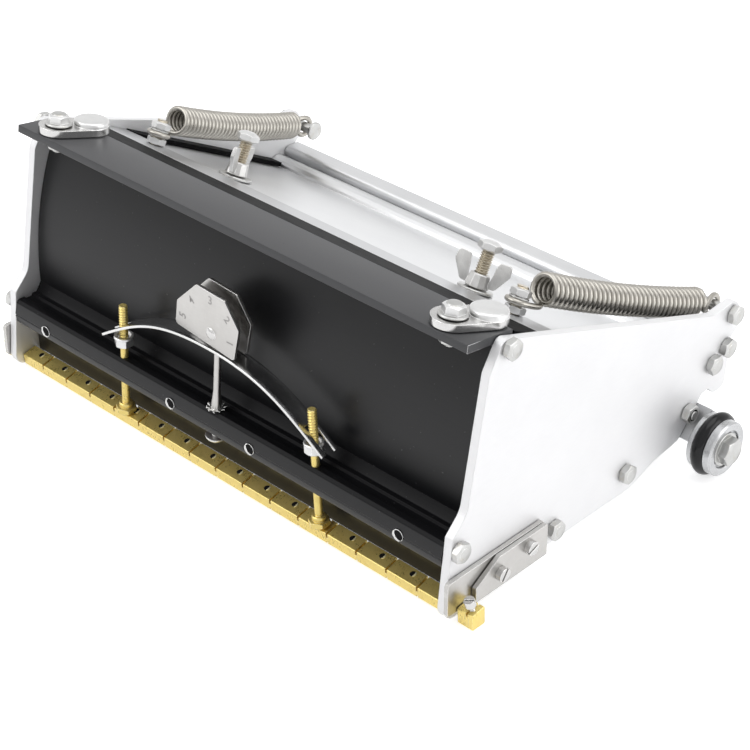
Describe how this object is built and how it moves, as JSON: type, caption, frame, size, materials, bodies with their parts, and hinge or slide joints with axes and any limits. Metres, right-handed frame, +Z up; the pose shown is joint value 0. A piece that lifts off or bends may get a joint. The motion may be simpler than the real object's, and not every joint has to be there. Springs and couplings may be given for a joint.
{
  "type": "drywall flat finishing box",
  "caption": "Drywall flat finishing box: wedge-shaped compound box with sprung pressure plate, segmented brass blade holder, crown dial, latches and rear wheels.",
  "frame": {"origin": "the middle of the part's base rectangle, on the ground", "axes": "+X along the blade to the right side seen from the front, +Y from the blade towards the wheels, +Z up"},
  "size_m": [0.2428, 0.1424, 0.0971],
  "materials": {
    "bright_aluminium": "bright brushed",
    "grey_aluminium": "satin",
    "black_aluminium": "black anodised, satin",
    "zinc_steel": "zinc plated",
    "spring_steel": "drawn wire",
    "stainless": "polished",
    "blade_steel": "ground",
    "brass": "machined, lightly tarnished",
    "seal_rubber": "matt",
    "ring_rubber": "glossy"
  },
  "bodies": {
    "frame": {"side_plate_left": "bright_aluminium", "side_plate_right": "bright_aluminium", "front_wall": "black_aluminium", "bottom_plate": "grey_aluminium", "rear_cross_member": "bright_aluminium", "axle_bar": "grey_aluminium", "hinge_rod": "zinc_steel", "top_screw_left": "zinc_steel", "top_screw_right": "zinc_steel", "foot_screw_left": "zinc_steel", "foot_screw_right": "zinc_steel", "floor_front_screw_left": "zinc_steel", "floor_front_screw_right": "zinc_steel", "floor_rear_screw_left": "zinc_steel", "floor_rear_screw_right": "zinc_steel", "member_screw_left": "zinc_steel", "member_screw_right": "zinc_steel", "spring_anchor_left": "zinc_steel", "spring_anchor_right": "zinc_steel", "axle_stud_left": "zinc_steel", "axle_stud_right": "zinc_steel", "wheel_bolt_left": "zinc_steel", "wheel_bolt_right": "zinc_steel", "skid_plate_left": "stainless", "skid_plate_right": "stainless", "skid_cover_left": "stainless", "skid_cover_right": "stainless", "skid_shoe_left": "brass", "skid_shoe_right": "brass", "blade_holder": "brass", "blade": "blade_steel", "adjuster_rod_left": "brass", "adjuster_rod_right": "brass", "adjuster_nut_left": "stainless", "adjuster_nut_right": "stainless", "bow_spring": "stainless", "dial_post": "stainless", "latch_bolt_left": "zinc_steel", "latch_bolt_right": "zinc_steel", "return_spring_left": "spring_steel", "return_spring_right": "spring_steel"},
    "pressure_plate": {"pressure_plate": "bright_aluminium", "front_seal": "seal_rubber", "seal_clamp_strip": "grey_aluminium", "side_seal_left": "seal_rubber", "side_seal_right": "seal_rubber", "spring_stud_left": "zinc_steel", "spring_stud_right": "zinc_steel", "handle_bolt_left": "zinc_steel", "handle_bolt_right": "zinc_steel"},
    "wing_nut_left": {"wing_nut_left": "stainless"},
    "wing_nut_right": {"wing_nut_right": "stainless"},
    "latch_left": {"latch_left": "stainless"},
    "latch_right": {"latch_right": "stainless"},
    "dial": {"crown_dial": "stainless"},
    "wheel_left": {"wheel_hub_left": "bright_aluminium", "wheel_tyre_left": "ring_rubber"},
    "wheel_right": {"wheel_hub_right": "bright_aluminium", "wheel_tyre_right": "ring_rubber"}
  },
  "joints": [
    {"name": "pressure_plate_hinge", "type": "hinge", "parent": "frame", "child": "pressure_plate", "pos_m": [0, 0.05748, 0.0328], "axis": [1, 0, 0], "range_deg": [0, 30], "stiffness_Nm_per_rad": 1.6, "springref_deg": -42.97, "deforming": ["return_spring_left", "return_spring_right"]},
    {"name": "wing_nut_left_turn", "type": "hinge", "parent": "pressure_plate", "child": "wing_nut_left", "pos_m": [-0.0546, -0.00327, 0.06977], "axis": [0, 0.471, 0.8821], "continuous": true},
    {"name": "wing_nut_right_turn", "type": "hinge", "parent": "pressure_plate", "child": "wing_nut_right", "pos_m": [0.0546, -0.00327, 0.06977], "axis": [0, 0.471, 0.8821], "continuous": true},
    {"name": "latch_left_swivel", "type": "hinge", "parent": "frame", "child": "latch_left", "pos_m": [-0.0875, -0.05237, 0.09075], "axis": [0, 0.1564, 0.9877], "range_deg": [-63, 117]},
    {"name": "latch_right_swivel", "type": "hinge", "parent": "frame", "child": "latch_right", "pos_m": [0.0875, -0.05237, 0.09075], "axis": [0, 0.1564, 0.9877], "range_deg": [-63, 117]},
    {"name": "dial_turn", "type": "hinge", "parent": "frame", "child": "dial", "pos_m": [0.00278, -0.06566, 0.05737], "axis": [0, 1, 0], "range_deg": [0, 267], "deforming": ["bow_spring"]},
    {"name": "wheel_left_spin", "type": "hinge", "parent": "frame", "child": "wheel_left", "pos_m": [-0.113, 0.04784, 0.01093], "axis": [1, 0, 0], "continuous": true},
    {"name": "wheel_right_spin", "type": "hinge", "parent": "frame", "child": "wheel_right", "pos_m": [0.113, 0.04784, 0.01093], "axis": [1, 0, 0], "continuous": true}
  ]
}
